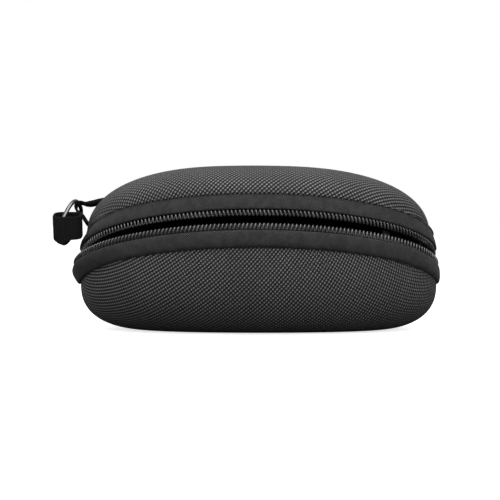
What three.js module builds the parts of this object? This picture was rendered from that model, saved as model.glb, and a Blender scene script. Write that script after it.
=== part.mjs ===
// A hard-shell eyeglasses case: two moulded fabric-covered shells, joined by a tape hinge along the
// back and closed by a coil zip round the front. The lid is slightly ajar.
// Millimetres. X is the length, -Y the zip side, +Z up. The origin is the middle of the flat base.
import * as THREE from "three";
import { ParametricGeometry } from "three/addons/geometries/ParametricGeometry.js";

// Plan of the rim
const HALF_LENGTH = 83;
const FRONT_REACH = 42; // from the middle of the plan to the front of the rim
const CORNER = 38; // radius of the two rear corners, and the reach to the back
const STRAIGHT = HALF_LENGTH - CORNER; // half the straight back

// Heights
const BACK_RIM_Z = 31.4; // parting line along the back and the ends
const RIM_RISE = 17.6; // how much higher the parting line is at the front
const RISE_SOFTNESS = 0.12; // share of the reach over which the rise sets in
const CLOSED_HEIGHT = 72.6;
const AJAR_DEG = 1.75;

// Layers of the wall, as insets from the base band's outer face
const HALF_GAP = 0.15; // each half stops this far from the parting line when shut
const CLEAR = 0.3; // between pieces that touch
const FACET = 0.4; // more room where two curved walls are faceted differently
const COIL_HEIGHT = 3.25;
const COIL_DEPTH = 2.0;
const BAND_HEIGHT = 6.3;
const BAND_THICK = 2.3;
const COVER_INSET = 1.2;
const COVER_THICK = 1.9;
const TAPE_EDGE = 1.7; // the tape's edge, from the parting line
const TAPE_THICK = 0.5;
const CORE_THICK = 2.2;
const LINING_THICK = 0.6;
const LID_INSET = 1.2; // the lid is this much smaller all round
const LEFT_TUCK = 2.0; // extra inset of the lid at its left end
const DOME_TUCK = [2.0, 2.0]; // extra inset of its dome at the left and right ends, on top
const BOWL_TUCK = [2.4, 0]; // the same for the base's bowl
const BOWL_SHIFT = 2.5; // the flat bottom lies this far to the right
const DOME_SHIFT = -1.8;
const SHELL_EDGE = 4.2; // the shells' edges stop this far from the parting line

// Moulded forms
const BASE_FLAT = [0.57, 0.34]; // the flat bottom, as shares of the plan
const LID_FLAT = [0.17, 0.2];
const BASE_POWER = 2.5;
const LID_POWER = 2.1;
const AROUND = 40;
const CURVE_STEPS = 5;

const HINGE_OUT = 0.5; // the hinge line lies this far outside the bands
const HINGE_Y = CORNER + HINGE_OUT;

// Zip slider, parked at the left rear corner
const SLIDER_DEG = 134;
const SLIDER_LENGTH = 8;
const ZIP_END_DEG = 97; // both rows reach this far round the right corner, the base row both
const LID_ROW_END_DEG = 152;

const BRIDGE_Z = -0.5;
const STOP_LENGTH = 2.2;
const COIL_INSET = 0.3;
const COIL_CHAMFER = 0.6;
const COIL_STEPS = 50;
const BAND_CHAMFER = 0.8;
const HINGE_TAPE_THICK = 0.8;
const TAB_SHARE = 0.656; // of the rim, from the middle of the back by the left end

// Hardware at the left end
const LOOP_EYE = new THREE.Vector3(-79.35, -2.65, 56.05); // where the ring's bar lies in the side loop
const RING_BAR = [-0.17, -0.86, 0.47];
const RING_LEG = [-0.392, -0.382, -0.838];
const RING_HALF = [7.3, 9.6]; // of its middle line, across and down
const RING_POWER = 3; // 2 is an ellipse; more is squarer
const RING_WIRE = 0.9; // radius
const BAR_OFFSET = 1.6; // from the side loop to the middle of the bar
const STRAP_LINE = [
  [8.2, 3.6], [5.4, 3.2], [1.8, 2.7], [-0.9, 2.2], [-2.3, 0.2], [-1.7, -1.9], [0.4, -3.6], [2.4, -6.9],
]; // the side loop's middle line, as X and Z from its eye
const STRAP_HALF = [0.5, 1.9]; // half its thickness and half its width
const RIBBON_AT = [-83.4, -13.8, 47.3];
const RIBBON_HALF = [5.8, 4.8]; // of its middle line
const RIBBON_TILT_DEG = 13;
const RIBBON_WIDTH = 10.4;
const RIBBON_THICK = 1;

const COLOURS = {
  weave: [0x1b1b1c, 0.75, 0],
  band: [0x161617, 0.6, 0],
  coil: [0x2e2e30, 0.4, 0],
  tape: [0x121213, 0.8, 0],
  foam: [0x18181a, 0.9, 0],
  lining: [0x202022, 0.95, 0],
  metal: [0x3a3a3d, 0.3, 1],
  ribbon: [0x141415, 0.7, 0],
  tab: [0x6a6a6c, 0.7, 0],
};

const rim = new THREE.Path();
rim.moveTo(0, CORNER);
rim.lineTo(-STRAIGHT, CORNER);
rim.absarc(-STRAIGHT, 0, CORNER, Math.PI / 2, Math.PI, false);
rim.absellipse(0, 0, HALF_LENGTH, FRONT_REACH, Math.PI, 2 * Math.PI, false);
rim.absarc(STRAIGHT, 0, CORNER, 0, Math.PI / 2, false);
rim.lineTo(0, CORNER);
const RIM_LENGTH = rim.getLength();

/** Share of the rim, from the middle of the back, at an angle round the left rear corner. */
function leftCorner(deg) {
  return (STRAIGHT + CORNER * THREE.MathUtils.degToRad(deg - 90)) / RIM_LENGTH;
}

/** Height of the parting line at a depth y. */
function partingZ(y) {
  const t = Math.max(0, -y / FRONT_REACH);
  return BACK_RIM_Z + (RIM_RISE * (1 + RISE_SOFTNESS) * t * t) / (t + RISE_SOFTNESS);
}

/** Point of the wall at share u of the rim, an inset from the base band's face and a rise. */
function wallPoint(u, inset, rise, target = new THREE.Vector3()) {
  const share = ((u % 1) + 1) % 1;
  const at = rim.getPointAt(share);
  const along = rim.getTangentAt(share);
  const z = partingZ(at.y) + rise;
  return target.set(at.x - along.y * inset, at.y + along.x * inset, z);
}

function mesh(name, geometry, finish) {
  const [color, roughness, metalness] = COLOURS[finish];
  const made = new THREE.Mesh(
    geometry,
    new THREE.MeshStandardMaterial({ color, roughness, metalness }),
  );
  made.name = name;
  return made;
}

/** A solid whose closed section, in points, is carried along steps; place puts a point there. */
function sweep(section, steps, closed, place) {
  const caps = closed ? 0 : 1;
  const slices = steps + 2 * caps;
  const middle = [0, 1].map((k) => section.reduce((sum, p) => sum + p[k], 0) / section.length);
  return new ParametricGeometry((a, b, target) => {
    const step = a * slices - caps;
    const inside = THREE.MathUtils.clamp(step, 0, steps);
    const spread = Math.max(0, 1 - Math.abs(step - inside));
    const near = b * section.length;
    const from = section[Math.floor(near) % section.length];
    const to = section[(Math.floor(near) + 1) % section.length];
    const mix = near - Math.floor(near);
    const at = [0, 1].map(
      (k) => middle[k] + (from[k] + (to[k] - from[k]) * mix - middle[k]) * spread,
    );
    place(inside / steps, at[0], at[1], target);
  }, slices, section.length);
}

/** A strip of the wall from share u0 to u1 of the rim; section points are [inset, rise]. */
function strip(section, u0 = 0, u1 = 1, steps = AROUND, tuck = () => 0) {
  const closed = u1 - u0 >= 1;
  return sweep(section, steps, closed, (s, inset, rise, target) => {
    const u = u0 + (u1 - u0) * s;
    return wallPoint(u, inset + tuck(u), rise, target);
  });
}

/** Inset and rise of a rounded rectangle, its corners cut by a chamfer. */
function chamfered(inset, thick, rise0, rise1, cut = 0) {
  if (!cut)
    return [[inset, rise0], [inset, rise1], [inset + thick, rise1], [inset + thick, rise0]];
  return [
    [inset, rise0 + cut],
    [inset, rise1 - cut],
    [inset + cut, rise1],
    [inset + thick, rise1],
    [inset + thick, rise0],
    [inset + cut, rise0],
  ];
}

/**
 * A moulded bowl (up = -1) or dome (up = 1). It has a wall from its edge to its shoulder, then
 * curves over to its flat. skin is [inset, thick]; edge and shoulder are rises.
 */
function moulded({ up, skin, edge, shoulder, flat, power, shift, tuck, ends }) {
  const [inset, thick] = skin;
  const poleZ = up < 0 ? 0 : CLOSED_HEIGHT;
  const face = (depth) => {
    const curve = (t) => (u, target) => {
      const wall = inset + depth + tuck(u) + ends[0] * endShare(u, -1) + ends[1] * endShare(u, 1);
      const base = wallPoint(u, wall, up * shoulder, target);
      const out = Math.cos((t * Math.PI) / 2) ** (2 / power);
      const over = Math.sin((t * Math.PI) / 2) ** (2 / power);
      const plan = rim.getPointAt(((u % 1) + 1) % 1);
      const flatX = plan.x * flat[0] + shift;
      const topZ = poleZ - up * (inset + depth - skinTop(up));
      return target.set(
        flatX + (base.x - flatX) * out,
        plan.y * flat[1] + (base.y - plan.y * flat[1]) * out,
        base.z + (topZ - base.z) * over,
      );
    };
    const rows = [(u, target) => {
      const at = curve(1)(u, target);
      return target.set(shift, 0, at.z);
    }];
    for (let i = CURVE_STEPS; i >= 0; i--) rows.push(curve(i / CURVE_STEPS));
    if (edge < shoulder)
      rows.push((u, target) => wallPoint(u, inset + depth + tuck(u), up * edge, target));
    return rows;
  };
  const rows = [...face(0), ...face(thick).reverse()];
  if (up > 0) rows.reverse();
  const last = rows.length - 1;
  return new ParametricGeometry((u, v, target) => {
    const near = v * last;
    const low = Math.min(last - 1, Math.max(0, Math.floor(near)));
    const a = rows[low](u, new THREE.Vector3());
    const b = rows[low + 1](u, new THREE.Vector3());
    target.copy(a.lerp(b, near - low));
  }, AROUND, last);
}

/** Inset at which a half's cover begins, so that its flat lies on the outer face. */
function skinTop(up) {
  return up < 0 ? COVER_INSET : COVER_INSET + LID_INSET;
}

/** How far share u of the rim lies towards its left (sign = -1) or right (1) end, 0 to 1. */
function endShare(u, sign) {
  const at = rim.getPointAt(((u % 1) + 1) % 1);
  return THREE.MathUtils.smoothstep(sign * at.x, 0.62 * HALF_LENGTH, 0.98 * HALF_LENGTH);
}

const bandFoot = HALF_GAP + COIL_HEIGHT + CLEAR + FACET;
const bandEnd = bandFoot + BAND_HEIGHT;
const shoulder = bandEnd + CLEAR;
const tapeInset = BAND_THICK + CLEAR + FACET;
const coreInset = tapeInset + TAPE_THICK + CLEAR;
const liningInset = coreInset + CORE_THICK + CLEAR + FACET;
const rowRight = 1 - leftCorner(ZIP_END_DEG);
const baseRowLeft = leftCorner(ZIP_END_DEG);
const lidRowLeft = leftCorner(LID_ROW_END_DEG);

/** The pieces that the base (up = -1) and the lid (up = 1) both have. */
function half(side, up, extra, form, rowLeft) {
  const { tuck } = form;
  const rises = (near, far) => (up > 0 ? [near, far] : [-far, -near]);
  const wall = { up, edge: SHELL_EDGE, shoulder, ...form };
  const coilRises = rises(HALF_GAP, HALF_GAP + COIL_HEIGHT);
  const bandSection = chamfered(extra, BAND_THICK, ...rises(bandFoot, bandEnd), BAND_CHAMFER);
  const tapeSection = chamfered(extra + tapeInset, TAPE_THICK, ...rises(TAPE_EDGE, bandEnd - 0.5));
  const coilSection = chamfered(extra + COIL_INSET, COIL_DEPTH, ...coilRises, COIL_CHAMFER);
  const stopSection = chamfered(extra + COIL_INSET - 0.2, COIL_DEPTH + 0.2, ...coilRises);
  const hingeSection = chamfered(extra, HINGE_TAPE_THICK, ...coilRises);
  const stopHalf = STOP_LENGTH / 2 / RIM_LENGTH;
  const clear = CLEAR / RIM_LENGTH;
  const hingeHalf = (STRAIGHT - 1) / RIM_LENGTH;
  const stop = (end, u) =>
    mesh(
      `${side}_stop_${end}`,
      strip(stopSection, u - stopHalf, u + stopHalf, 1, tuck),
      "metal",
    );
  const skin = (inset, thick, edge) => moulded({ ...wall, edge, skin: [extra + inset, thick] });
  const coil = strip(coilSection, rowLeft + clear, rowRight - clear, COIL_STEPS, tuck);
  const tape = strip(tapeSection, baseRowLeft, rowRight, AROUND, tuck);
  const hinge = strip(hingeSection, -hingeHalf, hingeHalf, 2);
  return [
    mesh(`${side}_cover`, skin(COVER_INSET, COVER_THICK, shoulder), "weave"),
    mesh(`${side}_core`, skin(coreInset, CORE_THICK, SHELL_EDGE), "foam"),
    mesh(`${side}_lining`, skin(liningInset, LINING_THICK, SHELL_EDGE), "lining"),
    mesh(`${side}_band`, strip(bandSection, 0, 1, AROUND, tuck), "band"),
    mesh(`${side}_tape`, tape, "tape"),
    mesh(`${side}_coil`, coil, "coil"),
    mesh(`${side}_hinge_tape`, hinge, "tape"),
    stop("left", rowLeft - stopHalf),
    stop("right", rowRight + stopHalf),
  ];
}

/** An extruded outline, its points in the plane of two axes, from low to high along the third. */
function plate(points, low, high, axes) {
  const outline = new THREE.Shape(points.map(([x, y]) => new THREE.Vector2(x, y)));
  const depth = high - low;
  const made = new THREE.ExtrudeGeometry(outline, { depth, bevelEnabled: false });
  made.translate(0, 0, low);
  return made.applyMatrix4(new THREE.Matrix4().makeBasis(...axes));
}

const X = new THREE.Vector3(1, 0, 0);
const Y = new THREE.Vector3(0, 1, 0);
const Z = new THREE.Vector3(0, 0, 1);

/** The slider's channel, its bridge and the pull tab; X runs back along the row, Y outwards. */
function slider() {
  const front = [0.4, 1.6]; // outer plate, in Y
  const back = [-4.7, -4.1]; // inner plate
  const web = [0.35, 1.35]; // between the rows, in Z
  const channel = [
    [front[0], -4.2], [front[1], -4.2], [front[1], 3.3], [front[0], 3.3], [front[0], web[1]],
    [back[0], web[1]], [back[0], -3.5], [back[1], -3.5], [back[1], web[0]], [front[0], web[0]],
  ];
  const foot = front[1] + CLEAR;
  const arch = [
    [-3.3, foot], [-3.3, foot + 2.2], [-1.9, foot + 3.6], [1.9, foot + 3.6], [3.3, foot + 2.2],
    [3.3, foot], [2.2, foot], [2.2, foot + 1.7], [1.4, foot + 2.5], [-1.4, foot + 2.5],
    [-2.2, foot + 1.7], [-2.2, foot],
  ];
  const tab = [[0.3, -2.4], [14, -2.6], [16.5, -1.6], [16.5, 1.6], [14, 2.6], [0.3, 2.4]];
  const body = plate(channel, -SLIDER_LENGTH / 2, SLIDER_LENGTH / 2, [Y, Z, X]);
  const bridge = plate(arch, BRIDGE_Z - 0.8, BRIDGE_Z + 0.8, [X, Y, Z]);
  const outline = new THREE.Shape(tab.map(([x, z]) => new THREE.Vector2(x, z)));
  const eye = [[1.5, -1.3], [4.7, -1.3], [4.7, 1.3], [1.5, 1.3]];
  outline.holes.push(new THREE.Path(eye.map(([x, z]) => new THREE.Vector2(x, z))));
  const pull = new THREE.ExtrudeGeometry(outline, { depth: 1, bevelEnabled: false });
  pull.rotateX(Math.PI / 2).translate(0, foot + 1.6, BRIDGE_Z);
  const group = new THREE.Group();
  const at = wallPoint(leftCorner(SLIDER_DEG), 0, 0);
  group.position.copy(at);
  group.rotation.z = THREE.MathUtils.degToRad(SLIDER_DEG - 90);
  group.add(
    mesh("slider_body", body, "metal"),
    mesh("slider_bridge", bridge, "metal"),
    mesh("pull_tab", pull, "metal"),
  );
  return group;
}

/** A closed racetrack through the middle of a bar: half sizes and corner radius. */
function racetrack(halfX, halfY, radius) {
  const path = new THREE.Path();
  path.moveTo(halfX, 0);
  path.absarc(halfX - radius, halfY - radius, radius, 0, Math.PI / 2, false);
  path.absarc(radius - halfX, halfY - radius, radius, Math.PI / 2, Math.PI, false);
  path.absarc(radius - halfX, radius - halfY, radius, Math.PI, 1.5 * Math.PI, false);
  path.absarc(halfX - radius, radius - halfY, radius, 1.5 * Math.PI, 2 * Math.PI, false);
  path.lineTo(halfX, 0);
  return path;
}

/** A closed bar round a racetrack in the XY plane; section points are [out, up]. */
function hoop(path, section, steps) {
  return sweep(section, steps, true, (s, out, up, target) => {
    const at = path.getPointAt(s % 1);
    const along = path.getTangentAt(s % 1);
    return target.set(at.x + along.y * out, at.y - along.x * out, up);
  });
}

function roundSection(radius, sides) {
  const angle = (k) => (2 * Math.PI * k) / sides;
  return Array.from({ length: sides }, (_, k) => [
    radius * Math.cos(angle(k)),
    radius * Math.sin(angle(k)),
  ]);
}

/** A closed oval in the XY plane, between an ellipse and a rectangle. */
function oval([halfX, halfY], power) {
  const bent = (value) => Math.sign(value) * Math.abs(value) ** (2 / power);
  const points = Array.from({ length: 24 }, (_, k) => {
    const angle = (2 * Math.PI * k) / 24;
    return new THREE.Vector3(halfX * bent(Math.cos(angle)), halfY * bent(Math.sin(angle)), 0);
  });
  return new THREE.CatmullRomCurve3(points, true);
}

/** The webbing loop sewn to the lid's left end, its width along the ring's bar. */
function sideLoop() {
  const line = new THREE.CatmullRomCurve3(
    STRAP_LINE.map(([x, z]) => LOOP_EYE.clone().add(new THREE.Vector3(x, 0, z))),
  );
  const [thick, wide] = STRAP_HALF;
  const section = [[-thick, -wide], [thick, -wide], [thick, wide], [-thick, wide]];
  const bar = new THREE.Vector3(...RING_BAR).normalize();
  return sweep(section, 24, false, (s, out, across, target) => {
    const at = line.getPointAt(s);
    const along = line.getTangentAt(s);
    target.set(at.x - along.z * out, at.y, at.z + along.x * out);
    return target.addScaledVector(bar, -across);
  });
}

/** The metal ring, hung in the side loop, and the ribbon loop round its front leg. */
function ringAndRibbon() {
  const across = new THREE.Vector3(...RING_BAR).normalize();
  const face = new THREE.Vector3().crossVectors(across, new THREE.Vector3(...RING_LEG)).normalize();
  const down = new THREE.Vector3().crossVectors(face, across);
  const ring = new THREE.Group();
  const wire = roundSection(RING_WIRE, 8);
  ring.add(mesh("ring", hoop(oval(RING_HALF, RING_POWER), wire, 36), "metal"));
  ring.matrixAutoUpdate = false;
  const middle = LOOP_EYE.clone()
    .addScaledVector(across, BAR_OFFSET)
    .addScaledVector(down, RING_HALF[1]);
  ring.matrix.makeBasis(across, down, face).setPosition(middle);
  const ribbon = new THREE.Group();
  ribbon.position.set(...RIBBON_AT);
  ribbon.rotation.x = THREE.MathUtils.degToRad(RIBBON_TILT_DEG);
  const half = RIBBON_WIDTH / 2;
  const skin = RIBBON_THICK / 2;
  const band = [[-skin, -half], [skin, -half], [skin, half], [-skin, half]];
  const tackThick = 0.7;
  const tack = new THREE.BoxGeometry(1.6, tackThick, RIBBON_WIDTH - 2);
  tack.translate(2, RIBBON_HALF[1] + skin + tackThick / 2 + 0.05, 0);
  ribbon.add(
    mesh("ribbon_loop", hoop(racetrack(...RIBBON_HALF, 3), band, 32), "ribbon"),
    mesh("ribbon_bartack", tack, "ribbon"),
  );
  return [ring, ribbon];
}

/** A small tab that stands from the base's lining, behind the front of the zip. */
function innerTab() {
  const inset = liningInset + LINING_THICK + CLEAR;
  const section = [[inset, -9], [inset + 1.4, 2.4], [inset + 2.4, 2.4], [inset + 1, -9]];
  const half = 1.8 / RIM_LENGTH;
  return mesh("inner_tab", strip(section, TAB_SHARE - half, TAB_SHARE + half, 1), "tab");
}

const baseForm = {
  flat: BASE_FLAT,
  power: BASE_POWER,
  shift: BOWL_SHIFT,
  tuck: () => 0,
  ends: BOWL_TUCK,
};
const lidForm = {
  flat: LID_FLAT,
  power: LID_POWER,
  shift: DOME_SHIFT,
  tuck: (u) => LEFT_TUCK * endShare(u, -1),
  ends: DOME_TUCK,
};

const base = new THREE.Group();
base.add(...half("base", -1, 0, baseForm, baseRowLeft), innerTab());

// The lid is built shut, about the hinge line, and then turned open.
const lid = new THREE.Group();
const lidPieces = half("lid", 1, LID_INSET, lidForm, lidRowLeft);
lidPieces.forEach((piece) => piece.position.set(0, -HINGE_Y, -BACK_RIM_Z));
lid.add(...lidPieces);
lid.position.set(0, HINGE_Y, BACK_RIM_Z);
lid.rotation.x = -THREE.MathUtils.degToRad(AJAR_DEG);

const group = new THREE.Group();
group.add(base, lid, slider(), mesh("side_loop", sideLoop(), "ribbon"), ...ringAndRibbon());
export default group;
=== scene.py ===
"""A hard-shell eyeglasses case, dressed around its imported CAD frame.

Two moulded shells carry a woven cover, a smooth rim band and one row of a coil zip each. A fabric
hinge joins them along the back. A ring and a ribbon loop hang from a side loop at the left end.
"""

import logging
import math
from dataclasses import dataclass, field
from enum import Enum
from typing import Callable

import bmesh
import bpy
import numpy as np
from mathutils import Matrix, Vector


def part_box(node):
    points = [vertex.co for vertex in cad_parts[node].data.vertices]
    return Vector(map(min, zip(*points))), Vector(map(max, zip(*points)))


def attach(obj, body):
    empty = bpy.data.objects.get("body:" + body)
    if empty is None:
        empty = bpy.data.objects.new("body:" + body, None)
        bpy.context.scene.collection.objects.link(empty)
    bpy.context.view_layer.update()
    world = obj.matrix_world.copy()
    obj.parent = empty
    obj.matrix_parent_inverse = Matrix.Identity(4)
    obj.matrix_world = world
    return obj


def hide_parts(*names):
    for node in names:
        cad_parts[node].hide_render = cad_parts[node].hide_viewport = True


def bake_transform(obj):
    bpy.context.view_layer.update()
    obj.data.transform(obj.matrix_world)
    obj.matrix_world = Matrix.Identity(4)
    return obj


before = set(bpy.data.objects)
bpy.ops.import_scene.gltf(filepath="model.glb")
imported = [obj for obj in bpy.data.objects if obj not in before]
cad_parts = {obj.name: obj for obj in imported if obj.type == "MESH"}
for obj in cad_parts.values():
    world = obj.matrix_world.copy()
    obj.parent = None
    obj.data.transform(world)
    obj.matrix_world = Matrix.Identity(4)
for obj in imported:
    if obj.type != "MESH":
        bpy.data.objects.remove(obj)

LOG = logging.getLogger("glasses_case")
MM = 0.001
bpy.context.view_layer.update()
Place = Callable[[float, float], Vector]
Section = list[tuple[float, float]]


class Body(str, Enum):
    """The moving bodies that pieces ride on."""

    BASE = "base"
    LID = "lid"
    SLIDER = "slider"
    PULLER = "puller"
    RING = "ring"
    RIBBON = "ribbon"


class Half(Enum):
    """The two halves of the case, and which way each grows from the parting line."""

    BASE = -1
    LID = 1


# ------ the case's form


@dataclass
class Rim:
    """The parting line: a straight back, round rear corners and an elliptical front.

    Args:
        half_length: Half of the case's length.
        front_reach: From the middle of the plan to the front.
        corner: Radius of the rear corners, and the reach to the back.
        back_z: Height along the back and at the ends.
        rise: How much higher the front's middle is.
        softness: Share of the front reach over which the rise sets in.
        ajar: Angle that the lid stands open by, about the hinge line.
    """

    half_length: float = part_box("base_band")[1].x
    front_reach: float = -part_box("base_band")[0].y
    corner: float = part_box("base_band")[1].y
    back_z: float = 31.4 * MM
    rise: float = 17.6 * MM
    softness: float = 0.12
    ajar: float = math.radians(1.75)
    hinge_out: float = 0.5 * MM
    samples: int = 4000
    table: np.ndarray = field(init=False)
    length: float = field(init=False)

    def __post_init__(self) -> None:
        """Samples the plan evenly in angle and adds up its length."""
        straight = self.half_length - self.corner
        turn = np.linspace(0, 0.5 * math.pi, self.samples)
        sweep = np.linspace(math.pi, 2 * math.pi, 2 * self.samples)
        left = np.c_[
            -straight + self.corner * np.cos(turn + 0.5 * math.pi),
            self.corner * np.sin(turn + 0.5 * math.pi),
        ]
        front = np.c_[self.half_length * np.cos(sweep), self.front_reach * np.sin(sweep)]
        right = np.c_[straight + self.corner * np.cos(turn), self.corner * np.sin(turn)]
        middle = np.array([[0.0, self.corner]])
        points = np.vstack([middle, left, front[1:], right[1:], middle])
        steps = np.linalg.norm(np.diff(points, axis=0), axis=1)
        self.length = float(steps.sum())
        self.table = np.c_[np.r_[0, np.cumsum(steps)] / self.length, points]

    def plan(self, share: float) -> Vector:
        """Point of the plan at a share of the rim, from the back's middle by the left end."""
        s = share % 1.0
        x = np.interp(s, self.table[:, 0], self.table[:, 1])
        y = np.interp(s, self.table[:, 0], self.table[:, 2])
        return Vector((x, y, 0))

    def outward(self, share: float) -> Vector:
        """Outward normal of the plan at a share of the rim."""
        along = self.plan(share + 5e-4) - self.plan(share - 5e-4)
        return Vector((along.y, -along.x, 0)).normalized()

    def height(self, y: float) -> float:
        """Height of the parting line at a depth y."""
        t = max(0.0, -y / self.front_reach)
        return self.back_z + self.rise * (1 + self.softness) * t * t / (t + self.softness)

    def wall(self, share: float, inset: float, rise: float) -> Vector:
        """Point of the wall at an inset from the base band's face and a rise."""
        at = self.plan(share)
        place = at - self.outward(share) * inset
        place.z = self.height(at.y) + rise
        return place

    def corner_share(self, degrees: float) -> float:
        """Share of the rim at an angle round the left rear corner."""
        straight = self.half_length - self.corner
        return (straight + self.corner * math.radians(degrees - 90)) / self.length

    def opened(self) -> Matrix:
        """The turn that takes the shut lid to where it stands ajar."""
        line = Vector((0, self.corner + self.hinge_out, self.back_z))
        turn = Matrix.Rotation(-self.ajar, 4, "X")
        return Matrix.Translation(line) @ turn @ Matrix.Translation(-line)


@dataclass(frozen=True)
class Wall:
    """How the layers of the wall lie, as insets from the base band's face and rises."""

    half_gap: float = 0.15 * MM
    coil_height: float = 3.25 * MM
    coil_depth: float = 2.0 * MM
    coil_inset: float = 0.3 * MM
    band_end: float = 10.4 * MM
    cover_inset: float = 1.2 * MM
    cover_thick: float = 1.9 * MM
    tape_inset: float = 2.9 * MM
    tape_thick: float = 0.5 * MM
    tape_edge: float = 0.9 * MM
    core_inset: float = 3.7 * MM
    core_thick: float = 2.2 * MM
    lining_inset: float = 6.3 * MM
    lining_thick: float = 0.7 * MM
    shell_edge: float = 4.2 * MM
    shoulder: float = 10.6 * MM


@dataclass(frozen=True)
class Form:
    """One half's moulded form.

    Args:
        half: Which half it is.
        inset: How much smaller it is all round than the base band's face.
        flat: The flat's plan, as shares of the rim's plan.
        power: Exponent of the wall's curve.
        pole: Height of the flat.
        shift: How far the flat lies to the right.
        tuck: Extra inset at the left end.
        ends: Further inset of the curved part at the left and right ends.
    """

    half: Half
    inset: float
    flat: tuple[float, float]
    power: float
    pole: float
    shift: float = 0.0
    tuck: float = 0.0
    ends: tuple[float, float] = (0.0, 0.0)

    @property
    def side(self) -> str:
        """The half's name, as its pieces and its body carry it."""
        return self.half.name.lower()

    @property
    def turn(self) -> Matrix:
        """Takes the shut half to where it stands at rest."""
        return RIM.opened() if self.half is Half.LID else Matrix.Identity(4)


RIM = Rim()
WALL = Wall()
BASE_FORM = Form(Half.BASE, 0.0, (0.57, 0.34), 2.5, 0.0, 2.5 * MM, 0.0, (2.4 * MM, 0.0))
LID_FORM = Form(Half.LID, 1.2 * MM, (0.17, 0.2), 2.1, 72.6 * MM, -1.8 * MM, 2.0 * MM,
                (2.0 * MM, 2.0 * MM))


# Sections of the two rim bands, as insets and rises in mm: the lower one has a lip that curls in
# over the bowl, the upper one is hollow and runs in under the dome's cover.
BAND_OUTLINES = {
    Half.BASE: [(0.6, 3.25), (0.15, 3.4), (-0.1, 3.9), (-0.3, 5.0), (-0.4, 6.5), (-0.42, 7.8),
                (-0.3, 8.9), (-0.05, 9.8), (0.4, 10.45), (1.0, 10.75), (1.6, 10.6), (2.2, 10.2),
                (2.3, 7.0), (2.3, 3.5), (1.5, 3.25)],
    Half.LID: [(0.7, 3.25), (0.1, 3.35), (-0.05, 3.8), (0.05, 4.6), (0.35, 5.8), (0.7, 7.0),
               (1.1, 8.2), (1.5, 9.3), (1.75, 10.1), (2.1, 10.4), (2.7, 10.4), (2.8, 9.0),
               (2.5, 6.0), (2.3, 3.6), (1.5, 3.25)],
}


def smoothstep(value: float, low: float, high: float) -> float:
    """Rises smoothly from 0 at low to 1 at high."""
    t = min(1.0, max(0.0, (value - low) / (high - low)))
    return t * t * (3 - 2 * t)


def end_share(share: float, sign: int = -1) -> float:
    """How far a share of the rim lies towards its left (-1) or right (1) end, from 0 to 1."""
    reach = sign * RIM.plan(share).x / RIM.half_length
    return smoothstep(reach, 0.62, 0.98)


def wall_tuck(form: Form, share: float, rise: float) -> float:
    """Extra inset of the upright wall at the left end, which grows towards the moulded part."""
    curl = 0.8 * form.ends[0] * smoothstep(rise, 5 * MM, 10.5 * MM)
    return (form.tuck + curl) * end_share(share)


# ------ mesh helpers


def finish_mesh(bm: bmesh.types.BMesh, name: str, smooth: bool = True) -> bpy.types.Object:
    """Closes seams, turns faces out and links the mesh.

    Args:
        bm: The mesh in the making; it is freed.
        name: The piece's name.
        smooth: Whether its faces are shaded smooth.

    Returns:
        The new object, at the origin.
    """
    bmesh.ops.remove_doubles(bm, verts=bm.verts, dist=2e-6)
    bmesh.ops.dissolve_degenerate(bm, edges=bm.edges, dist=1e-7)
    bmesh.ops.recalc_face_normals(bm, faces=bm.faces)
    for face in bm.faces:
        face.smooth = smooth
    mesh = bpy.data.meshes.new(name)
    bm.to_mesh(mesh)
    bm.free()
    piece = bpy.data.objects.new(name, mesh)
    bpy.context.scene.collection.objects.link(piece)
    return piece


def placed_grid(name: str, across: int, up: int, place: Place, chart: Place) -> bpy.types.Object:
    """A grid whose points are moved to where place says, with chart as its UV map.

    Args:
        name: The piece's name.
        across: Segments along the first parameter.
        up: Segments along the second.
        place: Gives a point from two parameters, each from 0 to 1.
        chart: Gives the UV point, in metres, from the same parameters.

    Returns:
        The closed piece.
    """
    bm = bmesh.new()
    bmesh.ops.create_grid(bm, x_segments=across, y_segments=up, size=0.5)
    uv = bm.loops.layers.uv.new("UVMap")
    spots = {vert: (vert.co.x + 0.5, vert.co.y + 0.5) for vert in bm.verts}
    charted = {vert: chart(*spot) for vert, spot in spots.items()}
    for face in bm.faces:
        for loop in face.loops:
            loop[uv].uv = charted[loop.vert].xy
    for vert, spot in spots.items():
        vert.co = place(*spot)
    return finish_mesh(bm, name)


def rounded(inset: float, thick: float, low: float, high: float, power: float,
            points: int) -> Section:
    """A closed section in inset and rise: a block with round corners, squarer at a higher power."""
    middle = (inset + thick / 2, (low + high) / 2)
    section = []
    for k in range(points):
        angle = 2 * math.pi * k / points
        c, s = math.cos(angle), math.sin(angle)
        x = math.copysign(abs(c) ** (2 / power), c)
        y = math.copysign(abs(s) ** (2 / power), s)
        section.append((middle[0] + x * thick / 2, middle[1] + y * (high - low) / 2))
    return section


def section_chart(section: Section) -> list[float]:
    """Distance round a closed section at each of its points, ending with the whole length."""
    total = [0.0]
    for k, point in enumerate(section):
        after = section[(k + 1) % len(section)]
        total.append(total[-1] + math.dist(point, after))
    return total


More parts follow.
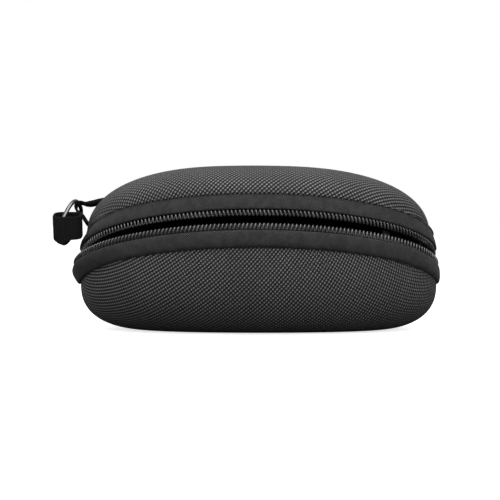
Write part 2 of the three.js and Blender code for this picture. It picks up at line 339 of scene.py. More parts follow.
def sweep(name: str, section: Section, steps: int, closed: bool, length: float,
          put: Callable[[float, float, float], Vector]) -> bpy.types.Object:
    """A closed section carried along a line, with flat ends unless the line is closed.

    Args:
        name: The piece's name.
        section: Points across the line.
        steps: Segments along the line.
        closed: Whether the line meets itself.
        length: The line's length, for the UV map.
        put: Gives a point from the share of the line and the section's two values.

    Returns:
        The closed piece.
    """
    caps = 0 if closed else 1
    slices = steps + 2 * caps
    middle = [sum(p[k] for p in section) / len(section) for k in (0, 1)]
    girth = section_chart(section)

    def place(a: float, b: float) -> Vector:
        step = round(a * slices) - caps
        inside = min(max(step, 0), steps)
        spread = 1 - abs(step - inside)
        point = section[round(b * len(section)) % len(section)]
        at = [middle[k] + (point[k] - middle[k]) * spread for k in (0, 1)]
        return put(inside / steps, at[0], at[1])

    def chart(a: float, b: float) -> Vector:
        step = min(max(round(a * slices) - caps, 0), steps)
        return Vector((length * step / steps, girth[round(b * len(section))], 0))

    return placed_grid(name, slices, len(section), place, chart)


def wall_strip(name: str, form: Form, section: Section, u0: float, u1: float,
               steps: int) -> bpy.types.Object:
    """A strip of one half's wall, from share u0 to u1 of the rim."""
    turn = form.turn
    closed = u1 - u0 >= 1

    def put(s: float, inset: float, rise: float) -> Vector:
        share = u0 + (u1 - u0) * s
        tuck = wall_tuck(form, share, rise)
        return turn @ RIM.wall(share, form.inset + inset + tuck, form.half.value * rise)

    return sweep(name, section, steps, closed, (u1 - u0) * RIM.length, put)


def tube(name: str, points: list[Vector], radius: float, sides: int,
         cyclic: bool = False) -> bpy.types.Object:
    """A round bar along points, made of a curve and kept as a mesh."""
    curve = bpy.data.curves.new(name, "CURVE")
    curve.dimensions = "3D"
    curve.bevel_depth = radius
    curve.bevel_resolution = sides
    curve.use_fill_caps = True
    spline = curve.splines.new("POLY")
    spline.points.add(len(points) - 1)
    spline.use_cyclic_u = cyclic
    for spot, point in zip(spline.points, points):
        spot.co = (*point, 1)
    holder = bpy.data.objects.new(name + "_line", curve)
    mesh = bpy.data.meshes.new_from_object(holder)
    bpy.data.objects.remove(holder)
    bm = bmesh.new()
    bm.from_mesh(mesh)
    bpy.data.meshes.remove(mesh)
    return finish_mesh(bm, name)


# ------ material graphs


class Graph:
    """Nodes of one material or group, made and joined in few words."""

    def __init__(self, tree: bpy.types.NodeTree) -> None:
        """Starts on a tree with no nodes."""
        self.tree = tree
        tree.nodes.clear()

    def node(self, kind: str, **inputs: object) -> bpy.types.Node:
        """A new node; each input is a value or a socket to join, by the input's name or number."""
        made = self.tree.nodes.new(kind)
        self.feed(made, inputs)
        return made

    def feed(self, node: bpy.types.Node, inputs: dict) -> None:
        """Sets or joins a node's inputs."""
        for key, value in inputs.items():
            if key.startswith("_"):
                setattr(node, key[1:], value)
                continue
            spot = node.inputs[int(key[1:])] if key[0] == "i" and key[1:].isdigit() else \
                node.inputs[key.replace("__", " ")]
            if isinstance(value, bpy.types.NodeSocket):
                self.tree.links.new(value, spot)
            else:
                spot.default_value = value

    def math(self, operation: str, *values: object) -> bpy.types.NodeSocket:
        """The result of a Math node."""
        inputs = {f"i{k}": value for k, value in enumerate(values)}
        return self.node("ShaderNodeMath", _operation=operation, **inputs).outputs[0]

    def mix(self, share: object, a: object, b: object) -> bpy.types.NodeSocket:
        """A colour between a and b."""
        made = self.node("ShaderNodeMix", _data_type="RGBA", i0=share, i6=a, i7=b)
        return made.outputs[2]

    def steps(self, value: object, low: float, high: float, a: float, b: float) -> bpy.types.NodeSocket:
        """A value carried smoothly from low..high to a..b."""
        made = self.node("ShaderNodeMapRange", _interpolation_type="SMOOTHSTEP",
                         i0=value, i1=low, i2=high, i3=a, i4=b)
        return made.outputs[0]


def group(name: str, inputs: dict[str, float], outputs: list[str],
          build: Callable[[Graph, bpy.types.Node], dict]) -> bpy.types.NodeTree:
    """A shared node group.

    Args:
        name: The group's name.
        inputs: Its inputs and their values; a vector input's value is None.
        outputs: Its outputs, all of them values.
        build: Fills the graph and returns the socket for each output.

    Returns:
        The finished group.
    """
    tree = bpy.data.node_groups.new(name, "ShaderNodeTree")
    for label, value in inputs.items():
        kind = "NodeSocketVector" if value is None else "NodeSocketFloat"
        made = tree.interface.new_socket(name=label, in_out="INPUT", socket_type=kind)
        if value is not None:
            made.default_value = value
    for label in outputs:
        tree.interface.new_socket(name=label, in_out="OUTPUT", socket_type="NodeSocketFloat")
    graph = Graph(tree)
    start = graph.node("NodeGroupInput")
    end = graph.node("NodeGroupOutput")
    for label, socket in build(graph, start).items():
        tree.links.new(socket, end.inputs[label])
    return tree


def build_weave(g: Graph, start: bpy.types.Node) -> dict:
    """A plain weave: threads pass over and under by turns."""
    parts = g.node("ShaderNodeSeparateXYZ", Vector=start.outputs["Cloth"])
    wobble = g.node("ShaderNodeTexNoise", Vector=start.outputs["Cloth"], Scale=900.0, Detail=1.0)
    shift = g.math("MULTIPLY", g.math("SUBTRACT", wobble.outputs[0], 0.5), start.outputs["Wander"])
    turns = [
        g.math("MULTIPLY", g.math("ADD", g.math("MULTIPLY", parts.outputs[axis],
                                                start.outputs["Threads"]), shift), math.pi)
        for axis in (0, 1)
    ]
    up = g.math("COSINE", g.math("SUBTRACT", *turns))
    down = g.math("COSINE", g.math("ADD", *turns))
    cross = g.math("SUBTRACT", g.math("MULTIPLY", up, 0.62), g.math("MULTIPLY", down, 0.38))
    # Over is the mask of the painted highlight on the crests and of the painted shade between them.
    over = g.steps(cross, -0.1, 0.95, 0.0, 1.0)
    return {"Over": over, "Height": g.steps(cross, -0.9, 0.9, 0.0, 1.0)}


def build_cloud(g: Graph, start: bpy.types.Node) -> dict:
    """Soft patches of tone, with a finer grain on top."""
    broad = g.node("ShaderNodeTexNoise", Vector=start.outputs["Place"], Scale=start.outputs["Size"],
                   Detail=3.0)
    fine = g.node("ShaderNodeTexNoise", Vector=start.outputs["Place"], Scale=2600.0, Detail=2.0)
    return {"Tone": g.steps(broad.outputs[0], 0.3, 0.7, 0.0, 1.0), "Grain": fine.outputs[0]}


def build_ribs(g: Graph, start: bpy.types.Node) -> dict:
    """Rounded ribs across a ribbon or a tape, with a finer cross thread."""
    parts = g.node("ShaderNodeSeparateXYZ", Vector=start.outputs["Cloth"])
    along = g.math("MULTIPLY", parts.outputs[0], start.outputs["Ribs"])
    rib = g.math("ABSOLUTE", g.math("SINE", g.math("MULTIPLY", along, math.pi)))
    across = g.math("MULTIPLY", parts.outputs[1], start.outputs["Threads"])
    thread = g.math("ABSOLUTE", g.math("SINE", g.math("MULTIPLY", across, math.pi)))
    both = g.math("ADD", g.math("MULTIPLY", rib, 0.7), g.math("MULTIPLY", thread, 0.3))
    # Rib is the mask of the painted highlight on the ribs and of the painted shade between them.
    return {"Rib": rib, "Height": both}


GROUPS = {
    "weave": group("Weave", {"Cloth": None, "Threads": 900.0, "Wander": 0.15}, ["Over", "Height"],
                   build_weave),
    "cloud": group("Cloud", {"Place": None, "Size": 60.0}, ["Tone", "Grain"], build_cloud),
    "ribs": group("Ribs", {"Cloth": None, "Ribs": 900.0, "Threads": 1500.0}, ["Rib", "Height"],
                  build_ribs),
}


def place_group(g: Graph, name: str, **inputs: object) -> bpy.types.Node:
    """A shared group placed in a material with its own values."""
    made = g.tree.nodes.new("ShaderNodeGroup")
    made.node_tree = GROUPS[name]
    g.feed(made, inputs)
    return made


@dataclass(frozen=True)
class Finish:
    """What every finish has.

    Args:
        slot: The record's material slot.
        dark: Colour in the hollows: painted shade in the woven and ribbed finishes, and the darker
            end of the random tone in the other finishes.
        light: Colour on the crests: a painted highlight in the woven and ribbed finishes, and the
            lighter end of the random tone in the other finishes.
        light: Colour on the crests.
        rough: Roughness in the hollows and on the crests.
        sheen: Weight of the soft sheen of fabric.
        specular: Strength of the gloss.
        metallic: Whether it is metal.
        bump: Height of the relief.
        patches: How many soft patches of tone there are to a metre.
        patch_tones: The patches' least and greatest tone.
    """

    slot: str
    dark: tuple[float, float, float]
    light: tuple[float, float, float]
    rough: tuple[float, float] = (0.7, 0.5)
    sheen: float = 0.0
    specular: float = 0.5
    metallic: float = 0.0
    bump: float = 0.1 * MM
    patches: float = 35.0
    patch_tones: tuple[float, float] = (0.88, 1.08)

    def pattern(self, g: Graph) -> tuple[object, object]:
        """Returns the mask between the dark and light colours, here soft random patches of tone, and
        the height of the surface, here a fine grain.
        """
        spot = g.node("ShaderNodeTexCoord").outputs["Object"]
        cloud = place_group(g, "cloud", Place=spot)
        return cloud.outputs["Tone"], cloud.outputs["Grain"]

    def build(self) -> bpy.types.Material:
        """Makes the material."""
        material = bpy.data.materials.new(self.slot)
        material.use_nodes = True
        g = Graph(material.node_tree)
        tone_and_highlight_mask, height = self.pattern(g)
        spot = g.node("ShaderNodeTexCoord").outputs["Object"]
        cloud = place_group(g, "cloud", Place=spot, Size=self.patches)
        # Painted highlight on the crests and painted shade in the hollows for the woven and ribbed
        # finishes; random tone for the others.
        tone_and_highlight_colour = g.mix(tone_and_highlight_mask, (*self.dark, 1), (*self.light, 1))
        deeper = g.node("ShaderNodeMix", _data_type="RGBA", _blend_type="MULTIPLY", i0=1.0, i6=tone_and_highlight_colour)
        tone = g.steps(cloud.outputs["Tone"], 0.0, 1.0, *self.patch_tones)
        shade = g.node("ShaderNodeCombineColor", i0=tone, i1=tone, i2=tone)
        g.tree.links.new(shade.outputs[0], deeper.inputs[7])
        rough = g.steps(tone_and_highlight_mask, 0.0, 1.0, self.rough[0], self.rough[1])
        relief = g.node("ShaderNodeBump", Strength=1.0, Distance=self.bump, Height=height)
        surface = g.node("ShaderNodeBsdfPrincipled", Roughness=rough, Metallic=self.metallic,
                         Normal=relief.outputs[0])
        g.tree.links.new(deeper.outputs[2], surface.inputs["Base Color"])
        surface.inputs["Specular IOR Level"].default_value = self.specular
        surface.inputs["Sheen Weight"].default_value = self.sheen
        surface.inputs["Sheen Roughness"].default_value = 0.5
        out = g.node("ShaderNodeOutputMaterial")
        g.tree.links.new(surface.outputs[0], out.inputs[0])
        return material


@dataclass(frozen=True)
class Woven(Finish):
    """A plain-weave cloth that follows the piece's UV map."""

    threads: float = 1000.0
    wander: float = 0.12

    def pattern(self, g: Graph) -> tuple[object, object]:
        """Crests where the lengthwise threads pass over; the colour paints a highlight on them and
        shade in the hollows between.
        """
        cloth = g.node("ShaderNodeUVMap", _uv_map="UVMap").outputs[0]
        weave = place_group(g, "weave", Cloth=cloth, Threads=self.threads, Wander=self.wander)
        return weave.outputs["Over"], weave.outputs["Height"]


@dataclass(frozen=True)
class Ribbed(Finish):
    """A ribbed ribbon or tape that follows the piece's UV map."""

    ribs: float = 900.0
    threads: float = 1500.0

    def pattern(self, g: Graph) -> tuple[object, object]:
        """Crests along the ribs; the colour paints a highlight on them and shade in the hollows
        between.
        """
        cloth = g.node("ShaderNodeUVMap", _uv_map="UVMap").outputs[0]
        ribs = place_group(g, "ribs", Cloth=cloth, Ribs=self.ribs, Threads=self.threads)
        return ribs.outputs["Rib"], ribs.outputs["Height"]


def grey(value: float) -> tuple[float, float, float]:
    """A neutral tone."""
    return (value, value, value)


# In the woven and ribbed finishes, dark is painted shade in the hollows and light is a painted
# highlight on the crests.
FINISHES = {
    "woven_cover": Woven("woven_cover", grey(0.002), grey(0.15), (0.8, 0.4), 0.04, 0.4,
                         bump=0.3 * MM),
    "rim_band": Woven("rim_band", grey(0.008), grey(0.042), (0.85, 0.65), 0.08, 0.3,
                      bump=0.08 * MM, patches=330.0, patch_tones=(0.7, 1.2), threads=2200.0,
                      wander=0.4),
    "zip_coil": Finish("zip_coil", grey(0.02), grey(0.05), (0.2, 0.14), 0.0, 1.0,
                       bump=0.005 * MM),
    "zip_tape": Ribbed("zip_tape", grey(0.008), grey(0.018), (0.85, 0.75), 0.1, 0.3,
                       bump=0.05 * MM, ribs=1400.0, threads=1800.0),
    "foam_shell": Finish("foam_shell", grey(0.015), grey(0.022), (0.9, 0.85), 0.0, 0.3,
                         bump=0.04 * MM),
    "lining": Finish("lining", grey(0.012), grey(0.022), (0.95, 0.9), 0.4, 0.2,
                     bump=0.08 * MM),
    "dark_metal": Finish("dark_metal", grey(0.03), grey(0.05), (0.38, 0.3), 0.0, 0.5,
                         metallic=1.0, bump=0.01 * MM),
    "ring_metal": Finish("ring_metal", grey(0.09), grey(0.15), (0.3, 0.22), 0.0, 0.5,
                         metallic=1.0, bump=0.006 * MM),
    "webbing": Ribbed("webbing", grey(0.001), grey(0.007), (0.85, 0.7), 0.0, 0.14,
                      bump=0.2 * MM, ribs=1100.0, threads=2400.0),
    "thread": Ribbed("thread", grey(0.012), grey(0.025), (0.6, 0.5), 0.1, 0.4,
                     bump=0.05 * MM, ribs=2500.0, threads=1200.0),
    "grey_tab": Finish("grey_tab", grey(0.12), grey(0.16), (0.7, 0.6), 0.0, 0.4,
                       bump=0.02 * MM),
}
MATERIALS = {name: finish.build() for name, finish in FINISHES.items()}


def dress(piece: bpy.types.Object, finish: str, body: Body, *nodes: str) -> bpy.types.Object:
    """Gives a finished piece its material, its body and the CAD nodes that it stands for."""
    piece.data.materials.clear()
    piece.data.materials.append(MATERIALS[finish])
    if nodes:
        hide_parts(*nodes)
    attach(piece, body.value)
    LOG.info("%s: %d faces on %s", piece.name, len(piece.data.polygons), body.value)
    return piece


# ------ the two shells


@dataclass
class Shell:
    """One moulded half: its woven cover, foam shell, lining and rim band.

    Args:
        form: The half's form.
        around: Segments round the rim.
        over: Segments from the shoulder to the flat.
    """

    form: Form
    around: int = 220
    over: int = 30

    def curve(self, share: float, t: float, depth: float) -> Vector:
        """A point of a layer from its shoulder (t = 0) to the edge of its flat (t = 1)."""
        up = self.form.half.value
        left, right = self.form.ends
        tuck = (self.form.tuck + left) * end_share(share) + right * end_share(share, 1)
        base = RIM.wall(share, self.form.inset + depth + tuck, up * WALL.shoulder)
        out = math.cos(t * math.pi / 2) ** (2 / self.form.power)
        over = math.sin(t * math.pi / 2) ** (2 / self.form.power)
        plan = RIM.plan(share)
        top = self.form.pole - up * (depth - WALL.cover_inset)
        flat = self.form.flat
        edge = Vector((plan.x * flat[0] + self.form.shift, plan.y * flat[1], top))
        return Vector((
            edge.x + (base.x - edge.x) * out,
            edge.y + (base.y - edge.y) * out,
            base.z + (top - base.z) * over,
        ))

    def edge(self, share: float, depth: float, rise: float) -> Vector:
        """A point of a layer's upright edge."""
        tuck = wall_tuck(self.form, share, rise)
        return RIM.wall(share, self.form.inset + depth + tuck, self.form.half.value * rise)

    def layer(self, name: str, inset: float, thick: float, edge: float,
              around: int, over: int) -> bpy.types.Object:
        """A layer of the wall as a closed shell, with threads that follow the form in its UV map.

        Args:
            name: The piece's name.
            inset: Inset of its outer face.
            thick: Its thickness.
            edge: Rise of its edge.
            around: Segments round the rim.
            over: Segments from shoulder to flat.

        Returns:
            The closed piece.
        """
        turn = self.form.turn
        roll = min(thick / 2, 0.6 * MM)

        def outer(share: float) -> list[Vector]:
            top = self.curve(share, 1, inset)
            pole = Vector((self.form.shift, 0, top.z))
            rows = [pole, pole.lerp(top, 1 / 3), pole.lerp(top, 2 / 3)]
            rows += [self.curve(share, 1 - k / over, inset) for k in range(over + 1)]
            rows.append(self.edge(share, inset, edge + roll))
            rows.append(self.edge(share, inset + roll / 3, edge + roll / 3))
            rows.append(self.edge(share, inset + roll, edge))
            return rows

        def inner(share: float) -> list[Vector]:
            depth = inset + thick
            top = self.curve(share, 1, depth)
            rows = [self.edge(share, depth - roll / 2, edge), self.edge(share, depth, edge + roll)]
            rows += [self.curve(share, k / (over // 2), depth) for k in range(over // 2 + 1)]
            rows.append(Vector((self.form.shift, 0, top.z)))
            return rows

        columns, charts = [], []
        for i in range(around + 1):
            share = i / around
            column = outer(share)
            flat = column[3]
            away = RIM.outward(share)
            run = 0.0
            chart = [Vector(p) for p in column[:4]]
            for before, after in zip(column[3:], column[4:]):
                run += (after - before).length
                extra = run - (after - flat).xy.length
                chart.append(Vector((after.x + away.x * extra, after.y + away.y * extra, 0)))
            inside = inner(share)
            chart += [chart[-1] + away * 0.2 * MM * k for k in range(1, len(inside) + 1)]
            chart = [Vector((p.x * self.form.half.value, p.y, 0)) for p in chart]
            columns.append([turn @ p for p in column + inside])
            charts.append(chart)
        last = len(columns[0]) - 1
        return placed_grid(
            name, around, last,
            lambda a, b: columns[round(a * around)][round(b * last)],
            lambda a, b: charts[round(a * around)][round(b * last)],
        )

    def build(self) -> None:
        """Builds and dresses the half's shells and band."""
        side = self.form.side
        body = Body(side)
        lip = WALL.shoulder - 1.0 * MM
        cover = self.layer(f"{side}_woven_cover", WALL.cover_inset, WALL.cover_thick, lip,
                           self.around, self.over)
        dress(cover, "woven_cover", body, f"{side}_cover")
        core = self.layer(f"{side}_foam_shell", WALL.core_inset, WALL.core_thick,
                          WALL.shell_edge, 120, 14)
        dress(core, "foam_shell", body, f"{side}_core")
        lining = self.layer(f"{side}_brushed_lining", WALL.lining_inset - 0.3 * MM,
                            WALL.lining_thick, WALL.shell_edge - 0.6 * MM, 160, 20)
        dress(lining, "lining", body, f"{side}_lining")
        outline = BAND_OUTLINES[self.form.half]
        section = [(x * MM, z * MM) for x, z in outline]
        band = wall_strip(f"{side}_rim_band", self.form, section, 0, 1, self.around)
        dress(band, "rim_band", body, f"{side}_band")


# ------ the zip


@dataclass
class ZipRow:
    """One half of the coil zip: its tape, its coil and its two end stops.

    Args:
        form: The half's form.
        left_degrees: Where the row ends, as an angle round the left rear corner.
        right_degrees: The same, round the right rear corner.
        pitch: Distance between the coil's turns.
        wire: Radius of the coil's wire.
        offset: Share of a turn that the coil starts at.
    """

    form: Form
    left_degrees: float
    right_degrees: float = 97.0
    pitch: float = 1.75 * MM
    wire: float = 0.4 * MM
    offset: float = 0.0
    points_a_turn: int = 14

    def coil_path(self, u0: float, u1: float) -> list[Vector]:
        """The wire's middle line: flattened turns along the rim."""
        turn = self.form.turn
        up = self.form.half.value
        span = (u1 - u0) * RIM.length
        turns = int(span / self.pitch)
        half_depth = WALL.coil_depth / 2 - self.wire
        half_height = WALL.coil_height / 2 - self.wire
        middle = WALL.coil_inset + WALL.coil_depth / 2
        level = WALL.half_gap + WALL.coil_height / 2
        path = []
        for k in range(turns * self.points_a_turn + 1):
            phase = k / self.points_a_turn + self.offset
            angle = 2 * math.pi * phase
            c, s = math.cos(angle), math.sin(angle)
            depth = math.copysign(abs(c) ** 0.7, c) * half_depth
            height = math.copysign(abs(s) ** 0.6, s) * half_height
            share = u0 + (k / self.points_a_turn) * self.pitch / RIM.length
            tuck = self.form.tuck * end_share(share)
            place = RIM.wall(share, self.form.inset + middle + depth + tuck, up * (level + height))
            path.append(turn @ place)
        return path

    def build(self) -> None:
        """Builds and dresses the row."""
        side = self.form.side
        body = Body(side)
        left = RIM.corner_share(self.left_degrees)
        start = RIM.corner_share(self.right_degrees)
        right = 1 - start
        tape_section = rounded(WALL.tape_inset, WALL.tape_thick, WALL.tape_edge,
                               WALL.band_end - 0.6 * MM, 8, 16)
        tape = wall_strip(f"{side}_zip_tape", self.form, tape_section, start, right, 200)
        dress(tape, "zip_tape", body, f"{side}_tape")
        path = self.coil_path(left + 0.4 * MM / RIM.length, right - 0.4 * MM / RIM.length)
        coil = tube(f"{side}_zip_coil", path, self.wire, 1)
        dress(coil, "zip_coil", body, f"{side}_coil")
        low, high = WALL.half_gap, WALL.half_gap + WALL.coil_height
        clip = rounded(WALL.coil_inset - 0.2 * MM, WALL.coil_depth + 0.2 * MM, low, high, 5, 16)
        reach = 1.1 * MM / RIM.length
        for end, share in (("left", left - reach), ("right", right + reach)):
            stop = wall_strip(f"{side}_{end}_end_stop", self.form, clip, share - reach,
                              share + reach, 4)
            dress(stop, "dark_metal", body, f"{side}_stop_{end}")


@dataclass
class BackHinge:
    """The fabric hinge along the straight back, across the hinge line."""

    half_width: float = 44 * MM
    reach: float = 4.0 * MM
    thick: float = 0.8 * MM

    def build(self) -> None:
        """Builds the strip across the hinge line."""
        face = RIM.corner
        section = []
        rows = 10
        for k in range(rows + 1):
            z = -self.reach + 2 * self.reach * k / rows
            bulge = 0.5 * MM * math.cos(0.5 * math.pi * z / self.reach) ** 2
            section.append((face - 0.15 * MM + bulge, RIM.back_z + z))
        section += [(y - self.thick, z) for y, z in reversed(section)]

        def put(s: float, y: float, z: float) -> Vector:
            return Vector((self.half_width * (2 * s - 1), y, z))

        strip = sweep("fabric_hinge", section, 60, False, 2 * self.half_width, put)
        strip.data.materials.append(MATERIALS["zip_tape"])
        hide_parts("base_hinge_tape", "lid_hinge_tape")
        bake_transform(strip)
        LOG.info("fabric_hinge: %d faces across the hinge", len(strip.data.polygons))


# ------ slider and tab


def outline_solid(name: str, outline: list[tuple[float, float]], low: float, high: float,
                  frame_axes: Matrix, bevel: float,
                  hole: list[tuple[float, float]] | None = None) -> bpy.types.Object:
    """An outline extruded and bevelled, then set in place.

    Args:
        name: The piece's name.
        outline: Its corners, in the first two axes.
        low: Where the extrusion starts along the third axis.
        high: Where it ends.
        frame_axes: Takes the three axes to the row frame.
        bevel: Radius of the rounded edges.
        hole: Corners of a hole, as many as the outline's.

    Returns:
        The piece.
    """
    bm = bmesh.new()
    rings = []
    for corners in filter(None, (outline, hole)):
        verts = [bm.verts.new((x, y, low)) for x, y in corners]
        edges = [bm.edges.new((a, b)) for a, b in zip(verts, verts[1:] + verts[:1])]
        rings.append((verts, edges))
    if hole:
        bmesh.ops.bridge_loops(bm, edges=rings[0][1] + rings[1][1])
    else:
        bm.faces.new(rings[0][0])
    made = bmesh.ops.extrude_face_region(bm, geom=bm.faces[:])
    moved = [g for g in made["geom"] if isinstance(g, bmesh.types.BMVert)]
    bmesh.ops.translate(bm, verts=moved, vec=(0, 0, high - low))
    bmesh.ops.recalc_face_normals(bm, faces=bm.faces)
    sharp = [e for e in bm.edges if len(e.link_faces) == 2 and e.calc_face_angle(0) > 0.6]
    bmesh.ops.bevel(bm, geom=sharp, offset=bevel, segments=3, profile=0.5, affect="EDGES",
                    material=-1)
    bmesh.ops.transform(bm, matrix=frame_axes, verts=bm.verts)
    uv = bm.loops.layers.uv.new("UVMap")
    for face in bm.faces:
        for loop in face.loops:
            loop[uv].uv = loop.vert.co.xz
    return finish_mesh(bm, name)


# Outlines of the slider's two pieces, in mm: across the rim and up for the channel that runs on the
# rows, along the rim and out for the bridge that holds the tab.
CHANNEL = [(0.4, -4.2), (1.6, -4.2), (1.6, 3.3), (0.4, 3.3), (0.4, 1.35), (-4.7, 1.35),
           (-4.7, -3.5), (-4.1, -3.5), (-4.1, 0.35), (0.4, 0.35)]
BRIDGE = [(-3.3, 1.7), (-3.3, 4.0), (-2.6, 5.0), (-1.6, 5.5), (1.6, 5.5), (2.6, 5.0),
          (3.3, 4.0), (3.3, 1.7), (2.2, 1.7), (2.2, 3.6), (1.4, 4.4), (-1.4, 4.4),
          (-2.2, 3.6), (-2.2, 1.7)]


@dataclass
class Slider:
    """The slider, its bridge and the pull tab, parked at the left rear corner."""

    degrees: float = 134.0
    length: float = 8.0 * MM
    bridge_heights: tuple[float, float] = (-1.3 * MM, 0.3 * MM)
    tab_depths: tuple[float, float] = (-3.5 * MM, -2.5 * MM)
    tab_points: int = 40

    def axes(self, order: str) -> Matrix:
        """Takes an outline's axes to the row frame; order names the slider's axis for each."""
        at = RIM.wall(RIM.corner_share(self.degrees), 0, 0)
        turn = Matrix.Translation(at) @ Matrix.Rotation(math.radians(self.degrees - 90), 4, "Z")
        unit = {"x": Vector((1, 0, 0)), "y": Vector((0, 1, 0)), "z": Vector((0, 0, 1))}
        columns = [unit[axis] for axis in order]
        swap = Matrix((columns[0], columns[1], columns[2])).transposed().to_4x4()
        return turn @ swap

    def build(self) -> None:
        """Builds and dresses the slider and its tab."""
        channel = [(x * MM, y * MM) for x, y in CHANNEL]
        body = outline_solid("slider_channel", channel, -self.length / 2, self.length / 2,
                             self.axes("yzx"), 0.18 * MM)
        dress(body, "dark_metal", Body.SLIDER, "slider_body")
        arch = [(x * MM, y * MM) for x, y in BRIDGE]
        bridge = outline_solid("slider_bridge_loop", arch, *self.bridge_heights,
                               self.axes("xyz"), 0.2 * MM)
        dress(bridge, "dark_metal", Body.SLIDER, "slider_bridge")
        self.build_tab()

    def build_tab(self) -> None:
        """A flat tab with a square eye, a waist and a round end."""
        outer, eye = [], []
        for k in range(self.tab_points):
            angle = 2 * math.pi * (k + 0.5) / self.tab_points
            c, s = math.cos(angle), math.sin(angle)
            x = math.copysign(abs(c) ** 0.35, c)
            z = math.copysign(abs(s) ** 0.55, s)
            waist = 1 - 0.16 * math.exp(-((8.4 + 8.1 * x - 8.0) / 2.5) ** 2)
            outer.append(((8.4 + 8.1 * x) * MM, -2.55 * z * waist * MM))
            eye.append(((3.1 + 1.6 * x) * MM, -1.3 * z * MM))
        tab = outline_solid("pull_tab_plate", outer, *self.tab_depths,
                            self.axes("xzy") @ Matrix.Diagonal((1, 1, -1, 1)), 0.22 * MM, eye)
        tab.data.transform(Matrix.Translation((0, 0, -0.5 * MM)))
        dress(tab, "dark_metal", Body.PULLER, "pull_tab")


# ------ end hardware


# The side loop's middle line from inside the lid, round the ring's bar and back, in mm right of the
# bar and above it.
STRAP_KNOTS = [(13.0, 3.2), (9.0, 2.5), (5.4, 1.6), (2.7, 1.3), (0.7, 1.85), (-1.3, 1.7),
               (-2.15, 0.0), (-1.5, -1.9), (0.4, -3.4), (3.2, -7.6)]


